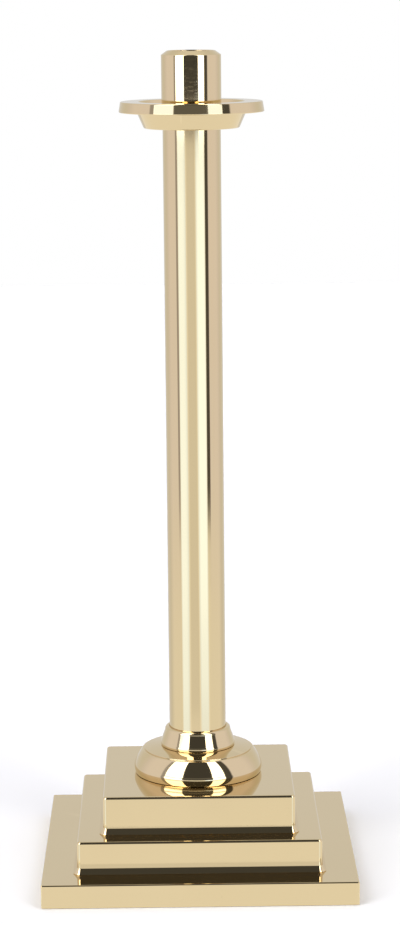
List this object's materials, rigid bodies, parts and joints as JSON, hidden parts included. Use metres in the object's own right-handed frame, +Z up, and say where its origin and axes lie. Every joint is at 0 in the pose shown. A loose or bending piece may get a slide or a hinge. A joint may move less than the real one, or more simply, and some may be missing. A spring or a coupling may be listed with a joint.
{
  "type": "flag pole stand",
  "caption": "Free-standing flag pole stand: a stepped square weighted base, a turned collar, a tube column, a rimmed pan and an open socket for an upright pole.",
  "frame": {"origin": "centre of the underside of the base, on the floor", "axes": "+Z up along the column, X and Y square to the sides of the base"},
  "size_m": [0.2286, 0.2286, 0.6053],
  "materials": {
    "polished_brass": "polished",
    "cast_iron": "as cast",
    "zinc_steel": "zinc plated",
    "felt": "felt",
    "rubber": "moulded",
    "leather": "oiled"
  },
  "bodies": {
    "stand": {"base_plinth": "polished_brass", "middle_plinth": "polished_brass", "upper_plinth": "polished_brass", "lower_ballast": "cast_iron", "upper_ballast": "cast_iron", "base_screws": "zinc_steel", "middle_screws": "zinc_steel", "base_cover": "zinc_steel", "cover_screws": "zinc_steel", "base_felt": "felt", "tie_stud": "zinc_steel", "tie_washer": "zinc_steel", "spring_washer": "zinc_steel", "tie_nut": "zinc_steel", "foot_collar": "polished_brass", "collar_dowels": "zinc_steel", "column_ferrule": "polished_brass", "column_tube": "polished_brass", "column_plug": "zinc_steel", "plug_pins": "zinc_steel", "pole_cup": "polished_brass", "rest_pad": "rubber"},
    "pan": {"drip_pan": "polished_brass", "socket_washer": "leather"},
    "socket": {"pole_socket": "polished_brass"}
  },
  "joints": [
    {"name": "pan_lift", "type": "slide", "parent": "stand", "child": "pan", "axis": [0, 0, 1], "range_m": [0, 0.045]},
    {"name": "socket_lift", "type": "slide", "parent": "pan", "child": "socket", "axis": [0, 0, 1], "range_m": [0, 0.045]}
  ]
}
